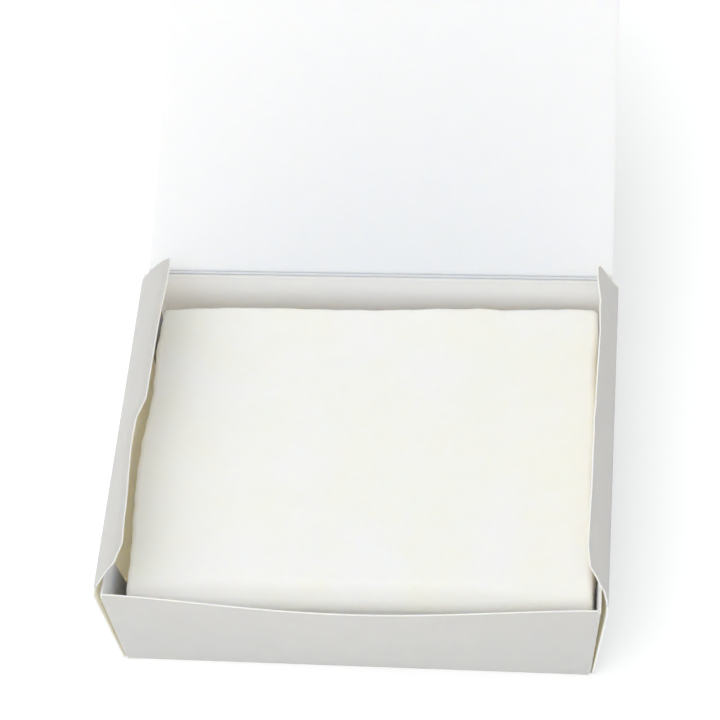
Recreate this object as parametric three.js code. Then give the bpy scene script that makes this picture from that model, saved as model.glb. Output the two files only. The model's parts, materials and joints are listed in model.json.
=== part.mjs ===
// Gymnastics chalk block in its open folding carton.
//
// The carton is one die-cut sheet of white boxboard, modelled here panel by panel between
// its creases: a base, four walls, four corner tabs glued inside the side walls, two dust
// flaps on the side walls, a lid on the rear wall and a tuck flap on the lid. A pressed
// slab of magnesium carbonate chalk lies loose inside.
//
// The carton stands on z = 0 with its base centred on the origin. +X runs along the front
// to the right, +Y from the front wall to the hinged rear wall, +Z up. Units are mm.

import * as THREE from 'three';

// Driving dimensions
const width = 150; // over the foot of the side walls
const depth = 116; // over the front and rear walls
const height = 48; // from the table to the top of the closed lid
const board = 0.5; // thickness of the boxboard
const foldGap = 0.3; // clearance where two panels meet at a crease
const glueThickness = 0.15; // dried glue line
const seamGap = 0.1; // clearance on each face of a glue line

const dustFlapDrop = 1; // the dust flaps' creases lie this far under the lid's crease
const dustFlapWidth = 16;
const tuckFlapWidth = 17;
const tuckCorner = 7; // radius of the tuck flap's free corners
const tuckSideGap = 1.2; // from the tuck flap's ends to the side walls' tabs
const tuckBehindWall = 0.55; // from the closed tuck crease's edge to the front wall

// The corner tabs, as places along the side wall and heights
const tabFoot = { reach: 20, atFold: 1.2, atEnd: 3.6 };
const tabRim = { reach: 14.5, atFold: 45.6, atEnd: 43.8 };
const gluePlace = { outer: 5, inner: 13, low: 5, high: 21 };
const footClip = 1.6; // cut off the side walls' lower corners

const slab = { width: 140, depth: 105, thickness: 35.5, offsetX: 0.5, offsetY: -0.3 };

// How far each fold stands open, from its place in the closed carton
const degrees = Math.PI / 180;
const lidOpen = 164 * degrees; // laid back, 16 degrees above level
const tuckFold = 95 * degrees; // out of the lid's plane
const dustFlapOpen = 62 * degrees; // out of level
const sideLean = 1.5 * degrees; // the side walls splay above the glued tabs

// Places that follow from them
const creaseInset = board / 2; // a crease's axis lies in the middle of the board
const creaseReach = board / 2 + foldGap; // from the axis to the edge of a panel
const lidAxis = { y: depth / 2 - creaseInset, z: height - creaseInset };
const dustFlapZ = lidAxis.z - dustFlapDrop;
const dustFlapAxis = {
  x: width / 2 - creaseInset + dustFlapZ * Math.tan(sideLean),
  z: dustFlapZ,
};
const tabX = width / 2 - 1.5 * board - glueThickness - 2 * seamGap; // middle of a tab
const glueX = width / 2 - board - seamGap - glueThickness / 2; // middle of a glue line
const endWallHalf = tabX + board / 2; // the front and rear walls end where their tabs fold
const lidLength = depth - 1.5 * board - tuckBehindWall;

const boxboard = { color: 0xf0f0ee, roughness: 0.62, metalness: 0 };
const innerBoard = { color: 0xe4e2dd, roughness: 0.7, metalness: 0 };
const driedGlue = { color: 0xe9e2cc, roughness: 0.4, metalness: 0 };
const chalk = { color: 0xf4efe3, roughness: 0.95, metalness: 0 };

// A flat panel: its outline in local X and Y, its thickness centred on local z = 0.
function panel(name, points, finish, thickness = board) {
  const outline = new THREE.Shape(points.map(([x, y]) => new THREE.Vector2(x, y)));
  const geometry = new THREE.ExtrudeGeometry(outline, { depth: thickness, bevelEnabled: false });
  geometry.translate(0, 0, -thickness / 2);
  const mesh = new THREE.Mesh(geometry, new THREE.MeshStandardMaterial(finish));
  mesh.name = name;
  return mesh;
}

function rectangle(left, bottom, right, top) {
  return [[left, bottom], [right, bottom], [right, top], [left, top]];
}

// Stands a panel up across the carton: local X stays X, and local Y turns up.
function standAcross(mesh, y) {
  mesh.rotation.x = Math.PI / 2;
  mesh.position.y = y;
  return mesh;
}

// Stands a panel up along a side of the carton: local X turns to +Y, and local Y turns up.
function standAlongside(mesh, x) {
  mesh.rotation.set(Math.PI / 2, Math.PI / 2, 0);
  mesh.position.x = x;
  return mesh;
}

function basePanel() {
  const halfX = width / 2 - board - foldGap;
  const halfY = depth / 2 - board - foldGap;
  const mesh = panel('base_panel', rectangle(-halfX, -halfY, halfX, halfY), innerBoard);
  mesh.position.z = board / 2;
  return mesh;
}

// The front wall and the rear wall reach up to the crease, or the free edge, under the lid.
function endWall(name, side) {
  const top = lidAxis.z - creaseReach;
  const mesh = panel(name, rectangle(-endWallHalf, 0, endWallHalf, top), boxboard);
  return standAcross(mesh, side * (depth / 2 - board / 2));
}

// A side wall covers the tabs at both ends, so its end edges are cut edges, clipped at the
// foot. It leans out a little, about the middle of the board at its foot.
function sideWall(name, side) {
  const foot = creaseInset * Math.sin(sideLean); // keeps the leaning wall's corner on z = 0
  const top = dustFlapAxis.z / Math.cos(sideLean) - creaseReach;
  const half = depth / 2;
  const outline = [
    [-half + footClip, foot],
    [half - footClip, foot],
    [half, footClip],
    [half, top],
    [-half, top],
    [-half, footClip],
  ];
  const leaning = new THREE.Group();
  leaning.add(standAlongside(panel(name, outline, boxboard), 0));
  leaning.position.x = side * (width / 2 - creaseInset);
  leaning.rotation.y = side * sideLean;
  return leaning;
}

// A corner tab turns off the end of the front or rear wall and lies inside the side wall.
// Its free edge leans, so that the tab is wider at the foot than at the rim.
function cornerTab(name, end, side) {
  const fold = depth / 2 - board - foldGap;
  const outline = [
    [end * fold, tabFoot.atFold],
    [end * (fold - tabFoot.reach), tabFoot.atEnd],
    [end * (fold - tabRim.reach), tabRim.atEnd],
    [end * fold, tabRim.atFold],
  ];
  return standAlongside(panel(name, outline, innerBoard), side * tabX);
}

// A dried line of glue joins each tab to its side wall, low down where the two lie close.
function glueLine(name, end, side) {
  const ends = [gluePlace.outer, gluePlace.inner].map((inset) => end * (depth / 2 - inset));
  const outline = rectangle(Math.min(...ends), gluePlace.low, Math.max(...ends), gluePlace.high);
  return standAlongside(panel(name, outline, driedGlue, glueThickness), side * glueX);
}

// A dust flap folds inward from the top of a side wall. It is drawn level and reaching in,
// then swung up about its crease. Its front end tapers to clear the tuck flap, and its rear
// end slants to clear the lid.
function dustFlap(name, side) {
  const near = creaseReach;
  const rearEnd = depth / 2 - 3;
  const frontEnd = -depth / 2 + 2.5;
  const slant = [[near, rearEnd], [dustFlapWidth - 2, rearEnd - 1], [dustFlapWidth, rearEnd - 3]];
  const taper = [[dustFlapWidth - 0.8, frontEnd + 30], [dustFlapWidth - 3.5, frontEnd + 16]];
  const nib = [[near + 3, frontEnd + 2.5], [near, frontEnd]];
  const outline = [...slant, ...taper, ...nib].map(([reach, y]) => [-side * reach, y]);
  const mesh = panel(name, outline, boxboard);
  mesh.position.set(side * dustFlapAxis.x, 0, dustFlapAxis.z);
  mesh.rotation.y = side * dustFlapOpen;
  return mesh;
}

// The tuck flap narrows to a rounded free edge so that it finds its way in behind the front
// wall. It turns about the crease at the lid's far edge.
function tuckFlap() {
  const half = tabX - board / 2 - tuckSideGap;
  const endHalf = half - 1; // at its rounded corners
  const straight = tuckFlapWidth - tuckCorner;
  const cornerX = endHalf - tuckCorner;
  const outline = new THREE.Shape();
  outline.moveTo(-half, creaseReach);
  outline.lineTo(half, creaseReach);
  outline.lineTo(endHalf, straight);
  outline.absarc(cornerX, straight, tuckCorner, 0, Math.PI / 2);
  outline.absarc(-cornerX, straight, tuckCorner, Math.PI / 2, Math.PI);
  outline.closePath();
  const points = outline.getPoints(6).map((p) => [p.x, p.y]);
  const mesh = panel('tuck_flap', points.slice(0, -1), boxboard);
  mesh.position.y = lidLength;
  mesh.rotation.x = tuckFold;
  return mesh;
}

// The lid and its tuck flap, turned back together about the crease on the rear wall. Within
// the group +Y runs from the hinge to the far edge, and +Z is the lid's inner face.
function lid() {
  const group = new THREE.Group();
  const near = creaseReach;
  const outline = rectangle(-endWallHalf, near, endWallHalf, lidLength - near);
  group.add(panel('lid_panel', outline, boxboard));
  group.add(tuckFlap());
  group.position.set(0, lidAxis.y, lidAxis.z);
  group.rotation.x = Math.PI - lidOpen;
  return group;
}

// The slab of chalk: a pressed block with softly worn corners and edges.
function chalkSlab() {
  const worn = 1.2;
  const corner = 2;
  const halfX = slab.width / 2 - worn;
  const halfY = slab.depth / 2 - worn;
  const outline = new THREE.Shape();
  outline.absarc(halfX - corner, halfY - corner, corner, 0, Math.PI / 2);
  outline.absarc(-halfX + corner, halfY - corner, corner, Math.PI / 2, Math.PI);
  outline.absarc(-halfX + corner, -halfY + corner, corner, Math.PI, 1.5 * Math.PI);
  outline.absarc(halfX - corner, -halfY + corner, corner, 1.5 * Math.PI, 2 * Math.PI);
  const geometry = new THREE.ExtrudeGeometry(outline, {
    depth: slab.thickness - 2 * worn,
    bevelThickness: worn,
    bevelSize: worn,
    bevelSegments: 3,
    curveSegments: 4,
  });
  const mesh = new THREE.Mesh(geometry, new THREE.MeshStandardMaterial(chalk));
  mesh.name = 'chalk_slab';
  mesh.position.set(slab.offsetX, slab.offsetY, board + foldGap + worn);
  return mesh;
}

const part = new THREE.Group();
part.add(basePanel());
part.add(endWall('front_wall', -1));
part.add(endWall('rear_wall', 1));
for (const [sideName, side] of [['left', -1], ['right', 1]]) {
  part.add(sideWall(`${sideName}_wall`, side));
  part.add(dustFlap(`${sideName}_dust_flap`, side));
  for (const [endName, end] of [['front', -1], ['rear', 1]]) {
    part.add(cornerTab(`${endName}_${sideName}_glue_tab`, end, side));
    part.add(glueLine(`${endName}_${sideName}_glue_line`, end, side));
  }
}
part.add(lid());
part.add(chalkSlab());

export default part;
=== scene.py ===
"""Gymnastics chalk block in its open folding carton."""

import json
import math

import bmesh
import bpy
from mathutils import Matrix, Vector, noise


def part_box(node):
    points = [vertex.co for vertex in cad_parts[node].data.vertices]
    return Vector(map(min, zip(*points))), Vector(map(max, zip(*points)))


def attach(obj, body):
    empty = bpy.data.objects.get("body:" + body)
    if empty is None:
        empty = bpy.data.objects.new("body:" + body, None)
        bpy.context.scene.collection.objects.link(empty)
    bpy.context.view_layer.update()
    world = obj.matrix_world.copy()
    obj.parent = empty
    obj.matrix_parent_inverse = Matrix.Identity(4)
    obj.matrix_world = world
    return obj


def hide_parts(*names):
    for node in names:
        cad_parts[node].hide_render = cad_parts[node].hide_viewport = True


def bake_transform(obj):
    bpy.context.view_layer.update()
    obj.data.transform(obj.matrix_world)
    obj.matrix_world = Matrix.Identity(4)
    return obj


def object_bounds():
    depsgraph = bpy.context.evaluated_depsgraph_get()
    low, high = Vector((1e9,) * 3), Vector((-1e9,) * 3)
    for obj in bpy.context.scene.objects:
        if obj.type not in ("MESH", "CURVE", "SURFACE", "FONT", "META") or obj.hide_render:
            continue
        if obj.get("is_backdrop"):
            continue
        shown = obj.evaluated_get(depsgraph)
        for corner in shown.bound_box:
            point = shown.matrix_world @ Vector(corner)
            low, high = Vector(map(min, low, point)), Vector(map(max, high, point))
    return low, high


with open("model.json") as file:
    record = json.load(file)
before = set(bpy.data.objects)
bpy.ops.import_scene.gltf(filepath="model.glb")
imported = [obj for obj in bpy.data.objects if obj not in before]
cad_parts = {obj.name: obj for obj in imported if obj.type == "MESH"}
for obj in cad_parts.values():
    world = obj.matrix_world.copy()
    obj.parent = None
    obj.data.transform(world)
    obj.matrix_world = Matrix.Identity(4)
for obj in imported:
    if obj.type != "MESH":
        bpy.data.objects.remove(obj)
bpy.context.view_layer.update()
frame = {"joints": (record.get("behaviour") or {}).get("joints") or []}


# ---- Camera -------------------------------------------------------------------------------
# It looks down over the front wall from a little to the right, turned slightly on its axis,
# through a long lens that keeps the carton's sides almost parallel.

mm = 0.001
camera_place = (89.2 * mm, -365.0 * mm, 668.5 * mm)
camera_turn = math.radians(13.28)  # to the left of straight ahead
camera_tilt = math.radians(90 - 57.1)  # so that it looks 57.1 degrees below level
camera_roll = math.radians(-10.04)

camera = bpy.data.objects.new("camera", bpy.data.cameras.new("camera"))
bpy.context.scene.collection.objects.link(camera)
camera.data.sensor_width = 36
camera.data.lens = 118.85
camera.matrix_world = (
    Matrix.Translation(camera_place)
    @ Matrix.Rotation(camera_turn, 4, "Z")
    @ Matrix.Rotation(camera_tilt, 4, "X")
    @ Matrix.Rotation(camera_roll, 4, "Z")
)
bpy.context.scene.camera = camera


# ---- Floor and light ----------------------------------------------------------------------
# A plain white table top, lit from below a little so that shadows on it stay faint, under a
# bright white room and two large soft lights. None of it is part of the object.


class Field:
    """Anything that varies over a finish. Sums and products of fields add the nodes that work
    them out."""

    def __init__(self, finish, socket):
        self.finish = finish
        self.socket = socket

    def maths(self, operation, *values):
        return self.finish.node("ShaderNodeMath", {"operation": operation}, dict(enumerate(values)))

    def __add__(self, other):
        return self.maths("ADD", self, other)

    def __sub__(self, other):
        return self.maths("SUBTRACT", self, other)

    def __rsub__(self, other):
        return self.maths("SUBTRACT", other, self)

    def __mul__(self, other):
        return self.maths("MULTIPLY", self, other)

    __radd__ = __add__
    __rmul__ = __mul__

    def between(self, low, high):
        """0 below low, 1 above high, and smooth between them."""
        return self.finish.node(
            "ShaderNodeMapRange",
            {"interpolation_type": "SMOOTHSTEP"},
            {"Value": self, "From Min": low, "From Max": high},
        )


class Finish:
    """A material made of nodes. The uniform values are the same all over it."""

    def __init__(self, name, uniform):
        self.material = bpy.data.materials.new(name)
        self.material.use_nodes = True
        self.shader = self.material.node_tree.nodes["Principled BSDF"]
        for socket, value in uniform.items():
            self.shader.inputs[socket].default_value = value
        self.place = self.node("ShaderNodeTexCoord", {}, {}, "Object")

    def node(self, kind, settings, sockets, output=0):
        node = self.material.node_tree.nodes.new(kind)
        for name, value in settings.items():
            setattr(node, name, value)
        for key, value in sockets.items():
            self.connect(node.inputs[key], value)
        return Field(self, node.outputs[output])

    def connect(self, socket, value):
        if isinstance(value, Field):
            self.material.node_tree.links.new(value.socket, socket)
        else:
            socket.default_value = value

    def cloud(self, size, detail=2.0, rough=0.5, stretch=(1, 1, 1)):
        """Soft noise, 0 to 1, whose blotches are about this many metres across."""
        place = self.node("ShaderNodeMapping", {}, {"Vector": self.place, "Scale": stretch})
        return self.node(
            "ShaderNodeTexNoise",
            {},
            {"Vector": place, "Scale": 1 / size, "Detail": detail, "Roughness": rough},
        )

    def blend(self, factor, first, second):
        """A colour that goes from first to second."""
        colours = {0: factor, 6: first, 7: second}
        return self.node("ShaderNodeMix", {"data_type": "RGBA"}, colours, 2)

    def relief(self, height, depth, strength=1.0):
        """A normal for a surface that stands this many metres proud where height is 1."""
        self.connect(
            self.shader.inputs["Normal"],
            self.node(
                "ShaderNodeBump", {}, {"Height": height, "Distance": depth, "Strength": strength}
            ),
        )


table_top = Finish(
    "table_top",
    {
        "Roughness": 0.9,
        "Specular IOR Level": 0.0,
        "Emission Color": (1.0, 1.0, 1.0, 1),
        "Emission Strength": 0.19,
    },
)
table_half = 4.0
table_drop = 0.05 * mm  # keeps it clear of the carton's underside
table_grain = table_top.cloud(20 * mm, 3.0)
table_top.connect(
    table_top.shader.inputs["Base Color"],
    table_top.blend(table_grain, (0.955, 0.955, 0.955, 1), (0.965, 0.965, 0.965, 1)),
)
floor_mesh = bmesh.new()
bmesh.ops.create_grid(floor_mesh, x_segments=1, y_segments=1, size=table_half)
bmesh.ops.translate(floor_mesh, verts=floor_mesh.verts, vec=(0, 0, -table_drop))
floor = bpy.data.objects.new("floor", bpy.data.meshes.new("floor"))
floor_mesh.to_mesh(floor.data)
floor_mesh.free()
floor.data.materials.append(table_top.material)
bpy.context.scene.collection.objects.link(floor)
floor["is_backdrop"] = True

world = bpy.data.worlds.new("white_room")
bpy.context.scene.world = world
world.use_nodes = True
room = world.node_tree.nodes["Background"]
room.inputs["Color"].default_value = (0.96, 0.98, 1.0, 1)
room.inputs["Strength"].default_value = 0.66
bpy.context.scene.view_settings.view_transform = "Standard"

lamp_colour = (1.0, 0.985, 0.96)


def soft_light(name, place, aim, side, watts):
    """A square soft box of this side, facing the point that it is aimed at."""
    lamp = bpy.data.lights.new(name, "AREA")
    lamp.size = side
    lamp.energy = watts
    lamp.color = lamp_colour
    light = bpy.data.objects.new(name, lamp)
    light.location = place
    light.rotation_mode = "QUATERNION"
    light.rotation_quaternion = (Vector(aim) - Vector(place)).to_track_quat("-Z", "Y")
    bpy.context.scene.collection.objects.link(light)


soft_light("overhead_light", place=(-0.6, 0.05, 1.4), aim=(0, 0, 0), side=2.0, watts=7.5)
soft_light("front_light", place=(-0.15, -0.85, 1.35), aim=(0, 0, 0.03), side=1.2, watts=5.5)


# ---- Boxboard -----------------------------------------------------------------------------
# The carton is one sheet of folding boxboard, half a millimetre thick: clay coated and
# faintly glossy outside, plain pulp inside, with a fuzzy pale cut edge. Each panel is cut
# flat, then folded up from its crease, as the blank is, and the glued tray has racked a little.

wall_low, wall_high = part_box("front_wall")
board = wall_high.y - wall_low.y
fold_radius = board  # to the middle of the board
base_half_x = (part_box("right_wall")[0].x + board / 2) - fold_radius
base_half_y = (board / 2 - wall_high.y) - fold_radius
lean_height = 46 * mm  # from here up the walls stand where they were folded
foot_draw = 1.7 * mm  # the feet of both sides, inwards
side_draw = 2.1 * mm  # the whole foot, to the left
front_draw = 1.6 * mm  # the foot of the front, inwards


def board_finish(name, pale, dark, roughness, relief, depth):
    """Paper board: cloudy from pale to dark by a hair, with a felt of fine fibres that stand
    relief proud. Light goes depth into it, and some comes through."""
    finish = Finish(
        name,
        {
            "Specular IOR Level": 0.35,
            "Subsurface Weight": 1.0,
            "Subsurface Radius": (1.0, 0.82, 0.58),
            "Subsurface Scale": depth,
        },
    )
    clouds = finish.cloud(9 * mm, 3.0)
    fibres = finish.cloud(0.55 * mm, 4.0, 0.65, (1, 1, 0.45))
    tone = clouds * 0.55 + fibres * 0.45
    colour = finish.blend(tone.between(0.3, 0.7), dark, pale)
    finish.connect(finish.shader.inputs["Base Color"], colour)
    finish.connect(finish.shader.inputs["Roughness"], fibres * 0.12 + (roughness - 0.06))
    finish.relief(fibres * 0.7 + clouds * 0.3, relief)
    return finish


# Painted shade: the coated outside is a mid grey, much darker than the plain inside. Part of that
# is the coat's own tone, and part is painted shade for the dimmer light that falls on the walls and
# flaps.
coated_side_painted_shade = board_finish(
    "coated_side_painted_shade",
    pale=(0.615, 0.613, 0.597, 1),
    dark=(0.595, 0.593, 0.576, 1),
    roughness=0.50,
    relief=0.012 * mm,
    depth=0.8 * mm,
)
plain_side = board_finish(
    "plain_side",
    pale=(0.885, 0.883, 0.876, 1),
    dark=(0.868, 0.866, 0.858, 1),
    roughness=0.68,
    relief=0.020 * mm,
    depth=3 * mm,
)
# Painted bounce light: down in the tray, the tabs and the side walls stand in the carton's own
# shade, where light bounces warm between board and chalk.
# Their inner sides are painted creamier than the plain pulp to stand in for that light, a little on
# the tabs and most on the side walls.
tab_painted_bounce = board_finish(
    "tab_painted_bounce",
    pale=(0.990, 0.965, 0.915, 1),
    dark=(0.985, 0.955, 0.900, 1),
    roughness=0.68,
    relief=0.020 * mm,
    depth=1.2 * mm,
)
side_wall_painted_bounce = board_finish(
    "side_wall_painted_bounce",
    pale=(0.955, 0.865, 0.690, 1),
    dark=(0.945, 0.845, 0.660, 1),
    roughness=0.68,
    relief=0.020 * mm,
    depth=3 * mm,
)
cut_edge = board_finish(
    "cut_edge",
    pale=(0.900, 0.895, 0.870, 1),
    dark=(0.820, 0.810, 0.780, 1),
    roughness=0.85,
    relief=0.060 * mm,
    depth=0.8 * mm,
)


def steps(start, end, count):
    """Places that divide the way from start to end evenly, both ends left out."""
    return [start + (end - start) * i / count for i in range(1, count)]


def cut_blank(outline, across, along, rounded=None):
    """A flat piece of board, scored across x and y at these places so that it can bend. Its
    corners are rounded where a corner's number has a radius."""
    sheet = bmesh.new()
    corners = [sheet.verts.new((x, y, 0)) for x, y in outline]
    sheet.faces.new(corners)
    for number, radius in (rounded or {}).items():
        bmesh.ops.bevel(
            sheet,
            geom=[corners[number]],
            offset=radius,
            segments=8,
            profile=0.5,
            affect="VERTICES",
            material=-1,
        )
    for places, normal in ((across, Vector((1, 0, 0))), (along, Vector((0, 1, 0)))):
        for place in places:
            bmesh.ops.bisect_plane(
                sheet,
                geom=sheet.verts[:] + sheet.edges[:] + sheet.faces[:],
                dist=1e-7,
                plane_co=normal * place,
                plane_no=normal,
            )
    return sheet


def fold(sheet, crease, radius, angle):
    """Bends the sheet up about a crease. The crease's frame has its x along the crease, its
    y across it, and its z on the side that the sheet bends to."""
    into = crease.inverted()
    for vertex in sheet.verts:
        x, y, z = into @ vertex.co
        if y > 0:
            turned = min(y / radius, angle)
            straight = max(y - radius * angle, 0)
            y = (radius - z) * math.sin(turned) + straight * math.cos(turned)
            z = radius - (radius - z) * math.cos(turned) + straight * math.sin(turned)
        vertex.co = crease @ Vector((x, y, z))


def settle(place):
    """Where a point of the tray comes to stand. Towards the foot the sides and the front are
    drawn in and the whole is pushed to the left, so the front leans out and the tray leans to
    the right."""
    low_down = max(1 - place.z / lean_height, 0)
    place.x -= (foot_draw * place.x / base_half_x + side_draw) * low_down
    place.y += front_draw * (0.5 - place.y / base_half_y / 2) * low_down


def board_piece(name, sheet, place, inside=plain_side, edge_radius=0.07 * mm):
    """Puts the folded sheet in its place and gives it its thickness. Its own z faces in."""
    finishes = (coated_side_painted_shade, inside, cut_edge)
    bmesh.ops.transform(sheet, matrix=place, verts=sheet.verts)
    for vertex in sheet.verts:
        settle(vertex.co)
    mesh = bpy.data.meshes.new(name)
    sheet.to_mesh(mesh)
    sheet.free()
    piece = bpy.data.objects.new(name, mesh)
    bpy.context.scene.collection.objects.link(piece)
    for finish in finishes:
        mesh.materials.append(finish.material)
    thick = piece.modifiers.new("thickness", "SOLIDIFY")
    thick.thickness = board
    thick.offset = 0
    thick.use_even_offset = True
    thick.material_offset = -1
    thick.material_offset_rim = 1
    mesh.polygons.foreach_set("material_index", [1] * len(mesh.polygons))
    edges = piece.modifiers.new("cut_edges", "BEVEL")
    edges.width = edge_radius
    edges.segments = 2
    edges.limit_method = "ANGLE"
    edges.angle_limit = math.radians(60)
    bpy.context.view_layer.update()
    made = bpy.data.meshes.new_from_object(
        piece.evaluated_get(bpy.context.evaluated_depsgraph_get())
    )
    piece.modifiers.clear()
    piece.data = made
    made.name = name
    made.shade_smooth()
    made.set_sharp_from_angle(angle=math.radians(25))
    bpy.data.meshes.remove(mesh)
    return piece


# ---- Base panel ---------------------------------------------------------------------------
# The floor of the tray, between the creases of its four walls. It stops where each wall's
# fold begins.

base = cut_blank(
    [
        (-base_half_x, -base_half_y),
        (base_half_x, -base_half_y),
        (base_half_x, base_half_y),
        (-base_half_x, base_half_y),
    ],
    steps(-base_half_x, base_half_x, 24),
    steps(-base_half_y, base_half_y, 18),
)
base_panel = board_piece("base_board", base, Matrix.Translation((0, 0, board / 2)))
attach(base_panel, "tray")
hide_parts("base_panel")


# ---- Front and rear walls -----------------------------------------------------------------
# They fold up from the base, and their ends fold in behind the side walls, where the corner
# tabs begin. The front wall's free edge has bowed out in the middle; the rear wall's top is
# held by the lid's crease, which leaves a low bead along its inner side.

right_angle = math.pi / 2
foot_bend = fold_radius * right_angle
tab_middle = (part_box("front_right_glue_tab")[0].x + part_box("front_right_glue_tab")[1].x) / 2
end_straight = tab_middle - fold_radius
end_full = end_straight + foot_bend
wall_top = foot_bend + wall_high.z - board / 2 - fold_radius
foot_clip = 0.8 * mm
tab_low, tab_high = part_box("front_right_glue_tab")

front_bow = 3.9 * mm
bow_gather = 1.45  # above 1, the bow gathers towards the middle of the edge
bow_climb = 1.25  # above 1, it grows faster near the top
bead_drop = 1.5 * mm  # from the top edge to the bead
bead_height = 0.13 * mm
bead_width = 0.45 * mm
top_band = 2.6 * mm  # scored finely, for the bead


def end_wall(name, node, turn, bow, bead):
    """The front or rear wall with both of its folded ends. The bow is how far the middle of its
    free edge stands out."""
    outline = [
        (-end_straight + foot_clip, 0),
        (end_straight - foot_clip, 0),
        (end_straight, foot_clip),
        (end_straight, tab_low.z + foot_clip),
        (end_full, tab_low.z + foot_clip),
        (end_full, tab_high.z),
        (end_straight, tab_high.z),
        (end_straight, wall_top),
        (-end_straight, wall_top),
        (-end_straight, tab_high.z),
        (-end_full, tab_high.z),
        (-end_full, tab_low.z + foot_clip),
        (-end_straight, tab_low.z + foot_clip),
        (-end_straight, foot_clip),
    ]
    across = steps(-end_straight, end_straight, 60)
    for side in (-1, 1):
        across += steps(side * end_straight, side * end_full, 6)
    along = steps(0, foot_bend, 6) + steps(foot_bend, wall_top - top_band, 20)
    along += steps(wall_top - top_band, wall_top, 12)
    sheet = cut_blank(outline, across, along)
    for vertex in sheet.verts:
        x, y, _ = vertex.co
        share = min(abs(x) / end_straight, 1)
        middle = math.cos(right_angle * share) ** bow_gather
        rise = max(y - foot_bend, 0) / (wall_top - foot_bend)
        vertex.co.z = -bow * middle * rise**bow_climb
        vertex.co.z += bead * math.exp(-(((wall_top - bead_drop - y) / bead_width) ** 2))
    for side in (-1, 1):
        crease = Matrix.Translation((side * end_straight, 0, 0)) @ Matrix.Rotation(
            -side * right_angle, 4, "Z"
        )
        fold(sheet, crease, fold_radius, right_angle)
    fold(sheet, Matrix.Identity(4), fold_radius, right_angle)
    place = Matrix.Rotation(turn, 4, "Z") @ Matrix.Translation((0, base_half_y, board / 2))
    piece = board_piece(name, sheet, place)
    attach(piece, "tray")
    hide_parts(node)


end_wall("front_wall_board", "front_wall", math.pi, front_bow, 0)
end_wall("rear_wall_board", "rear_wall", 0, 0, bead_height)


# ---- Corner tabs and glue -----------------------------------------------------------------
# Each end wall carries a tab at either end, stuck to the inside of the side wall by a line
# of hot glue low down. The tabs' free edges are cut on a slant. Each line of glue is squarer
# than a round bead, because it set while pressed between the boards.

dried_glue = Finish("dried_glue", {"Roughness": 0.28, "Transmission Weight": 0.35, "IOR": 1.48})
glue_flow = dried_glue.cloud(1.2 * mm, 2.0)
dried_glue.connect(
    dried_glue.shader.inputs["Base Color"],
    dried_glue.blend(glue_flow, (0.80, 0.72, 0.50, 1), (0.90, 0.86, 0.72, 1)),
)
dried_glue.relief(glue_flow, 0.08 * mm)

tab_foot_rise = 2.4 * mm  # how much higher the foot of the tab is at its free edge
tab_top_drop = 1.8 * mm
tab_slant = 0.275  # of its width, that its free edge leans back
glue_ripple = 0.16
glue_flatness = 0.6  # 1 is round, and less is flatter against the boards
glue_squareness = 0.8

for end_name, end in (("front", -1), ("rear", 1)):
    for side_name, side in (("left", -1), ("right", 1)):
        node = f"{end_name}_{side_name}_glue_tab"
        low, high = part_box(node)
        tab_width = high.y - low.y
        outline = [
            (0, low.z + foot_clip),
            (tab_width, low.z + tab_foot_rise + foot_clip),
            (tab_width - tab_slant * tab_width, high.z - tab_top_drop),
            (0, high.z),
        ]
        sheet = cut_blank(outline, steps(0, tab_width, 8), steps(low.z, high.z, 16))
        upright = Matrix(((0, 0, -side, 0), (-end, 0, 0, 0), (0, 1, 0, 0), (0, 0, 0, 1)))
        if side * end < 0:
            bmesh.ops.reverse_faces(sheet, faces=sheet.faces)
        place = Matrix.Translation((side * tab_middle, end * base_half_y, 0)) @ upright
        # Its inner side is painted pale cream, standing in for warm bounce light in the tray's
        # shade.
        tab = board_piece(f"{end_name}_{side_name}_tab_board", sheet, place, tab_painted_bounce)
        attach(tab, "tray")
        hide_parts(node)

        line = f"{end_name}_{side_name}_glue_line"
        low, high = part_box(line)
        middle = (low + high) / 2
        bead = bmesh.new()
        bmesh.ops.create_uvsphere(bead, u_segments=20, v_segments=14, radius=1)
        for vertex in bead.verts:
            x, y, z = vertex.co
            at = vertex.co * 2.2 + Vector((end * 5, side * 9, 0))
            ripple = 1 + glue_ripple * noise.noise(at)
            vertex.co = (
                math.copysign(abs(x) ** glue_flatness, x),
                math.copysign(abs(y) ** glue_squareness, y) * ripple,
                math.copysign(abs(z) ** glue_squareness, z) * ripple,
            )
        bmesh.ops.scale(bead, vec=(high - low) / 2, verts=bead.verts)
        bmesh.ops.translate(bead, vec=middle, verts=bead.verts)
        for vertex in bead.verts:
            settle(vertex.co)
        mesh = bpy.data.meshes.new(f"{line}_bead")
        bead.to_mesh(mesh)
        bead.free()
        mesh.shade_smooth()
        mesh.materials.append(dried_glue.material)
        glue = bpy.data.objects.new(f"{line}_bead", mesh)
        bpy.context.scene.collection.objects.link(glue)
        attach(glue, "tray")
        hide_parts(line)


# ---- Side walls ---------------------------------------------------------------------------
# They fold up outside the tabs and lean out a little above the glue. Their end edges are cut
# edges, clipped at the foot.

lean = math.radians(1.5)
side_angle = right_angle - lean
side_bend = fold_radius * side_angle
side_low, side_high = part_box("right_wall")
side_half = side_high.y
side_top = side_bend + (side_high.z - board / 2 - fold_radius) / math.cos(lean)

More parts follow.
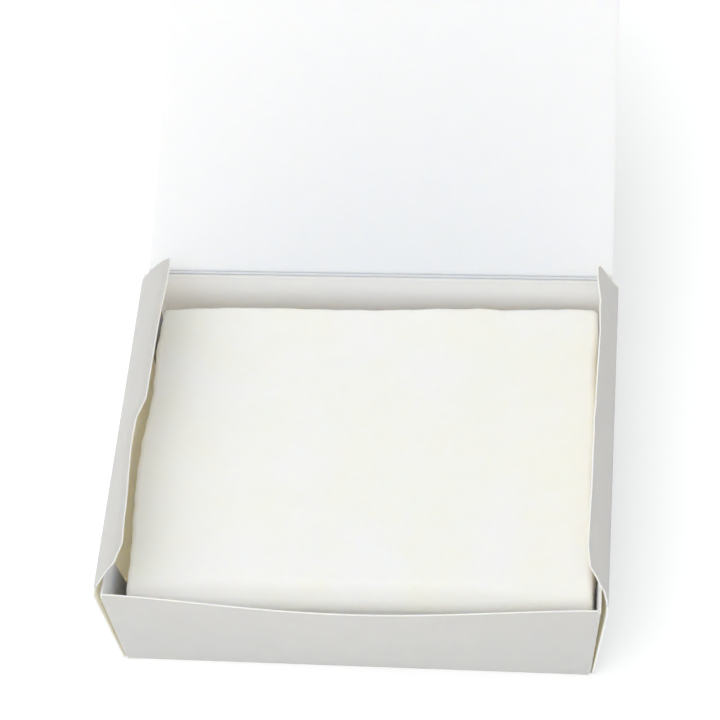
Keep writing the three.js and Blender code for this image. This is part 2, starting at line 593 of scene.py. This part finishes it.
for side_name, side in (("left", -1), ("right", 1)):
    outline = [
        (-side_half + foot_clip, 0),
        (side_half - foot_clip, 0),
        (side_half, foot_clip),
        (side_half, side_top),
        (-side_half, side_top),
        (-side_half, foot_clip),
    ]
    along = steps(0, side_bend, 6) + steps(side_bend, side_top, 18)
    sheet = cut_blank(outline, steps(-side_half, side_half, 40), along)
    fold(sheet, Matrix.Identity(4), fold_radius, side_angle)
    place = Matrix.Rotation(-side * right_angle, 4, "Z") @ Matrix.Translation(
        (0, base_half_x, board / 2)
    )
    # Its inner side is painted warm, standing in for bounce light in the tray's shade.
    wall = board_piece(f"{side_name}_wall_board", sheet, place, side_wall_painted_bounce)
    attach(wall, "tray")
    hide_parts(f"{side_name}_wall")


# ---- Chalk slab ---------------------------------------------------------------------------
# One pressed block of magnesium carbonate, lying loose in the tray. Its faces are flat, but
# its edges are rounded and crumbled by handling, and its front edge is worn to a slope.

slab_low, slab_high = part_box("chalk_slab")
slab_size = slab_high - slab_low
slab_middle = (slab_low + slab_high) / 2
slab_rounding = 1.8 * mm
slab_border = 1.9 * mm  # just past the rounding, where the flat faces begin
slab = bmesh.new()
bmesh.ops.create_cube(slab, size=1)
bmesh.ops.scale(slab, vec=slab_size, verts=slab.verts)
bmesh.ops.bevel(
    slab,
    geom=slab.edges[:],
    offset=slab_rounding,
    segments=5,
    profile=0.5,
    affect="EDGES",
    material=-1,
)
cells = (110, 80, 16)
for axis in range(3):
    normal = Vector([axis == i for i in range(3)])
    half = slab_size[axis] / 2 - slab_border
    for place in [-half, *steps(-half, half, cells[axis]), half]:
        bmesh.ops.bisect_plane(
            slab,
            geom=slab.verts[:] + slab.edges[:] + slab.faces[:],
            dist=1e-7,
            plane_co=normal * place,
            plane_no=normal,
        )


def hump(value, middle, width):
    """1 at the middle, falling away to nothing over about twice the width."""
    return math.exp(-(((value - middle) / width) ** 2))


def ease(value):
    """0 to 1, smooth at both ends."""
    value = min(max(value, 0), 1)
    return value * value * (3 - 2 * value)


slope_depth = 7.2 * mm  # how far in from the front face the slope starts
slope_height = 4.4 * mm
front_bulge = 0.8 * mm
right_bulge = 1.4 * mm
side_wear = 14 * mm  # how far in from each edge the faces are uneven
end_wear = 12 * mm
for vertex in slab.verts:
    x, y, z = vertex.co
    left = ease(1 - (x + slab_size.x / 2) / side_wear)
    right = ease(1 - (slab_size.x / 2 - x) / side_wear)
    rear = ease(1 - (slab_size.y / 2 - y) / end_wear)
    front = ease(1 - (y + slab_size.y / 2) / end_wear)
    top = ease((z + slab_size.z / 2) / slab_size.z)
    at = vertex.co / mm

    # The rear face is wavy, and the left one swells in two places with a hollow between them.
    wave = noise.noise(Vector((at.x * 0.035, 3.1, at.z * 0.02)))
    ripple = noise.noise(Vector((at.x * 0.16, 7.7, at.z * 0.08)))
    y += rear * (0.9 * wave + 0.35 * ripple) * mm
    swell = 1.6 * hump(at.y, -8, 20) + 0.5 * hump(at.y, 33, 9) - 0.4 * hump(at.y, 20, 6)
    wobble = noise.noise(Vector((1.7, at.y * 0.22, at.z * 0.12)))
    x -= left * (swell + 0.4 * wobble) * mm
    x += right * 0.5 * noise.noise(Vector((8.3, at.y * 0.1, at.z * 0.1))) * mm
    x += right * hump(z / slab_size.z, 0, 0.3) * right_bulge

    # The front slope is shallower towards both corners.
    worn = 1 - 0.35 * ease(-at.x / 35 - 1) - 0.5 * ease(at.x / 30 - 1)
    into_slope = max(1 - (y + slab_size.y / 2) / (slope_depth * worn), 0)
    fallen = top**4 * into_slope**1.4
    y -= front * hump(z / slab_size.z, 0.1, 0.25) * front_bulge
    z -= fallen * slope_height * worn

    # The top rolls gently, and every edge is crumbled.
    flat = noise.noise(Vector((at.x * 0.03, at.y * 0.03, 4.4)))
    z += top**3 * 0.18 * mm * flat
    edge = max(left, right, rear, front)
    crumble = noise.noise(at * 0.9) * 0.10 + noise.noise(at * 2.1) * 0.06
    vertex.co = Vector((x, y, z)) + vertex.normal * crumble * edge * mm
slab_turn = Matrix.Rotation(math.radians(0.9), 4, "Z")
slab_shift = Vector((-0.4 * mm, 0.9 * mm, 0))
slab_place = Matrix.Translation(slab_middle + slab_shift) @ slab_turn
bmesh.ops.transform(slab, matrix=slab_place, verts=slab.verts)

# A crumb has broken out of the front right corner and sticks there.
crumb_radius = 1.1 * mm
crumb_place = (slab_high.x - 0.8 * mm, slab_low.y - 0.2 * mm, slab_high.z - 3.2 * mm)
crumb = bmesh.ops.create_icosphere(slab, subdivisions=3, radius=crumb_radius)["verts"]
for vertex in crumb:
    vertex.co *= 1 + 0.25 * noise.noise(vertex.co * 900)
bmesh.ops.translate(slab, vec=crumb_place, verts=crumb)

chalk = Finish(
    "pressed_chalk",
    {
        "Roughness": 0.95,
        "Specular IOR Level": 0.12,
        "Subsurface Weight": 1.0,
        "Subsurface Radius": (1.0, 0.9, 0.75),
        "Subsurface Scale": 1.2 * mm,
    },
)
patches = chalk.cloud(24 * mm, 3.0, 0.55)
warmth = chalk.cloud(40 * mm, 2.0, 0.5, (1.0, 0.7, 1.0))
grain = chalk.cloud(0.7 * mm, 5.0, 0.7)
powder = chalk.cloud(3.0 * mm, 4.0, 0.6)
pits = 1 - chalk.node(
    "ShaderNodeTexVoronoi",
    {"feature": "F1"},
    {"Vector": chalk.place, "Scale": 1 / (2.6 * mm), "Randomness": 1.0},
    "Distance",
).between(0.05, 0.22)
pits = pits * chalk.cloud(7 * mm).between(0.5, 0.62)
specks = grain.between(0.62, 0.8)

deep_cream = (0.960, 0.930, 0.850, 1)
pale_cream = (0.970, 0.950, 0.905, 1)
blush = (0.968, 0.925, 0.872, 1)
dust = (0.978, 0.970, 0.948, 1)
shadow = (0.76, 0.70, 0.60, 1)
cream = chalk.blend(patches.between(0.35, 0.65), deep_cream, pale_cream)
blushed = chalk.blend(warmth.between(0.45, 0.75) * 0.7, cream, blush)
dusted = chalk.blend(powder.between(0.55, 0.75) * 0.35, blushed, dust)
# Painted shade: the pits are tinted towards the shadow colour, as if shade lay in them, and the
# specks take a little of it as darker grains.
pit_shade_and_specks = chalk.blend(pits * 0.10 + specks * 0.06, dusted, shadow)
chalk.connect(chalk.shader.inputs["Base Color"], pit_shade_and_specks)
chalk.relief(grain * 0.35 + powder * 0.5 - pits * 0.6, 0.12 * mm, 0.7)

mesh = bpy.data.meshes.new("chalk_block")
slab.to_mesh(mesh)
slab.free()
mesh.shade_smooth()
mesh.materials.append(chalk.material)
chalk_block = bpy.data.objects.new("chalk_block", mesh)
bpy.context.scene.collection.objects.link(chalk_block)
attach(chalk_block, "chalk")
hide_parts("chalk_slab")


# ---- Creases ------------------------------------------------------------------------------
# A crease is a strip of the same board between two panels, bent round its own axis. It stretches
# from the edge of one panel to the edge of the next, as they stand at rest, and it stays fixed
# there.

crease_reach = 0.55 * mm  # from the axis to the panels' edges
hinges = {joint["name"]: Vector(joint["pos_m"]) for joint in frame["joints"] if "pos_m" in joint}


def crease_strip(name, hinge, ends, first, second, bend):
    """ends are how far it reaches to either side of the hinge's middle. first and second are the
    panels, each as its body, which is not used, and its direction from the axis. A positive bend
    turns the board to its inner side."""
    radius = crease_reach / math.tan(abs(bend) / 2)
    length = radius * abs(bend)
    sheet = cut_blank(
        [(ends[0], 0), (ends[1], 0), (ends[1], length), (ends[0], length)],
        steps(*ends, 40),
        steps(0, length, 10),
    )
    turned_over = Matrix.Rotation(0 if bend > 0 else math.pi, 4, "Y")
    fold(sheet, turned_over, radius, abs(bend))
    along = -first[1]
    inner = (second[1] - along * second[1].dot(along)).normalized() * math.copysign(1, bend)
    facing = Matrix((along.cross(inner), along, inner)).transposed().to_4x4()
    start = hinges[hinge] + first[1] * crease_reach
    place = Matrix.Translation(start) @ facing
    strip = board_piece(name, sheet, place, edge_radius=0.01 * mm)
    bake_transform(strip)


# ---- Dust flaps ---------------------------------------------------------------------------
# A narrow flap folds in from the top of each side wall, to keep powder in when the lid is
# shut. Standing half open, both have been handled until their free edges are worn: the left
# one steps in halfway along, the right one is torn away at its front end.

flap_open = math.radians(62)
flap_low, flap_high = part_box("right_dust_flap")
flap_rear = flap_high.y
flap_front = flap_low.y

# How far each flap reaches from its crease, at places from the front to the rear, both in
# millimetres. The left flap is -1 and the right one 1, here and below.
flap_reach = {
    -1: [
        (-55.5, 0.9),
        (-54.3, 5.0),
        (-51, 12.2),
        (-46, 14.6),
        (-36, 14.0),
        (-10, 12.2),
        (-2, 12.4),
        (3.5, 16.0),
        (30, 15.8),
        (52, 17.0),
        (55, 16.4),
    ],
    1: [
        (-55.5, 1.0),
        (-53, 2.4),
        (-51, 6.5),
        (-48.5, 12.8),
        (-43, 14.2),
        (-15, 12.6),
        (8, 11.4),
        (32, 10.6),
        (43, 11.6),
        (51, 14.4),
        (53.5, 14.8),
        (55, 13.4),
    ],
}
flap_width = 16 * mm
flap_ripple = {-1: 0.12 * mm, 1: 0.28 * mm}  # along the free edge
flap_bow = {-1: 2.7 * mm, 1: -1.1 * mm}  # how far each free edge has bent inwards
flap_curl = {-1: 0.5 * mm, 1: 0.3 * mm}
curl_width = 2.4 * mm  # at the free edge


def reach_at(points, place):
    """The reach at a place, easing from each point to the next."""
    for (here, reach), (beyond, next_reach) in zip(points, points[1:]):
        if place <= beyond:
            return reach + (next_reach - reach) * ease((place - here) / (beyond - here))
    return points[-1][1]


for side_name, side in (("left", -1), ("right", 1)):
    sheet = bmesh.new()
    bmesh.ops.create_grid(sheet, x_segments=150, y_segments=16, size=0.5)
    for vertex in sheet.verts:
        place = flap_front + (flap_rear - flap_front) * (0.5 - side * vertex.co.x)
        at = place / mm
        reach = reach_at(flap_reach[side], at) * mm
        reach += flap_ripple[side] * noise.noise(Vector((at * 0.7, side * 4.0, 0)))
        share = vertex.co.y + 0.5
        out = crease_reach + share * (reach - crease_reach)
        curl = ease((out - reach + curl_width) / curl_width) * flap_curl[side]
        curl *= min(reach / flap_width, 1)
        bend = 0.3 * mm * share * math.sin(at * 0.055 + side)
        bend += flap_bow[side] * (out / flap_width) ** 2
        ridge = 0.25 * mm * hump(at + out / mm * 1.1, 14, 3) * share
        vertex.co = (-side * place, out, curl + bend + ridge)
    outward = Vector((-side * math.cos(flap_open), 0, math.sin(flap_open)))
    inner = Vector((-side * math.sin(flap_open), 0, -math.cos(flap_open)))
    facing = Matrix((outward.cross(inner), outward, inner)).transposed().to_4x4()
    hinge = f"{side_name}_dust_fold"
    flap = board_piece(f"{side_name}_dust_board", sheet, Matrix.Translation(hinges[hinge]) @ facing)
    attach(flap, f"{side_name}_dust_flap")
    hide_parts(f"{side_name}_dust_flap")

    wall_down = Vector((-side * math.sin(lean), 0, -math.cos(lean)))
    ends = sorted((-side * flap_front, -side * flap_rear))
    crease_strip(
        f"{side_name}_dust_crease",
        hinge,
        ends,
        ("tray", wall_down),
        (f"{side_name}_dust_flap", outward),
        right_angle + lean - flap_open,
    )


# ---- Lid and tuck flap --------------------------------------------------------------------
# The lid hangs on the rear wall's crease and lies back past upright, its sides sprung up a
# little. A flap with rounded corners, creased on at its far edge, tucks in behind the front
# wall when the lid is shut.

lid_spring = 0.45 * mm
lid_rise = math.radians(16)
lid_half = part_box("lid_panel")[1].x
lid_length = (hinges["tuck_fold"] - hinges["lid_hinge"]).length
lid_ends = (crease_reach, lid_length - crease_reach)
sheet = cut_blank(
    [
        (-lid_half, lid_ends[0]),
        (lid_half, lid_ends[0]),
        (lid_half, lid_ends[1]),
        (-lid_half, lid_ends[1]),
    ],
    steps(-lid_half, lid_half, 50),
    steps(*lid_ends, 40),
)
for vertex in sheet.verts:
    x, y, _ = vertex.co
    vertex.co.z = lid_spring * math.sin(math.pi * y / lid_length) * (x / lid_half) ** 2
lid_turn = Matrix.Rotation(lid_rise, 4, "X")
lid = board_piece("lid_board", sheet, Matrix.Translation(hinges["lid_hinge"]) @ lid_turn)
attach(lid, "lid")
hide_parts("lid_panel")

lid_back = lid_turn @ Vector((0, 1, 0))
crease_strip(
    "lid_crease",
    "lid_hinge",
    (-lid_half, lid_half),
    ("tray", Vector((0, 0, -1))),
    ("lid", lid_back),
    lid_rise - right_angle,
)

tuck_fold = math.radians(95)
tuck_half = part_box("tuck_flap")[1].x
tuck_length = 17 * mm
tuck_corner = 7 * mm
tuck_narrowing = 1 * mm
sheet = cut_blank(
    [
        (-tuck_half, crease_reach),
        (tuck_half, crease_reach),
        (tuck_half - tuck_narrowing, tuck_length),
        (-tuck_half + tuck_narrowing, tuck_length),
    ],
    steps(-tuck_half, tuck_half, 48),
    steps(crease_reach, tuck_length, 8),
    {2: tuck_corner, 3: tuck_corner},
)
tuck_turn = Matrix.Rotation(lid_rise + tuck_fold, 4, "X")
tuck = board_piece("tuck_board", sheet, Matrix.Translation(hinges["tuck_fold"]) @ tuck_turn)
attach(tuck, "tuck_flap")
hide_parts("tuck_flap")
crease_strip(
    "tuck_crease",
    "tuck_fold",
    (-tuck_half, tuck_half),
    ("lid", -lid_back),
    ("tuck_flap", tuck_turn @ Vector((0, 1, 0))),
    tuck_fold,
)


# ---- Sizes --------------------------------------------------------------------------------
# The bounds of the finished pieces that render, leaving out the floor.

low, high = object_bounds()
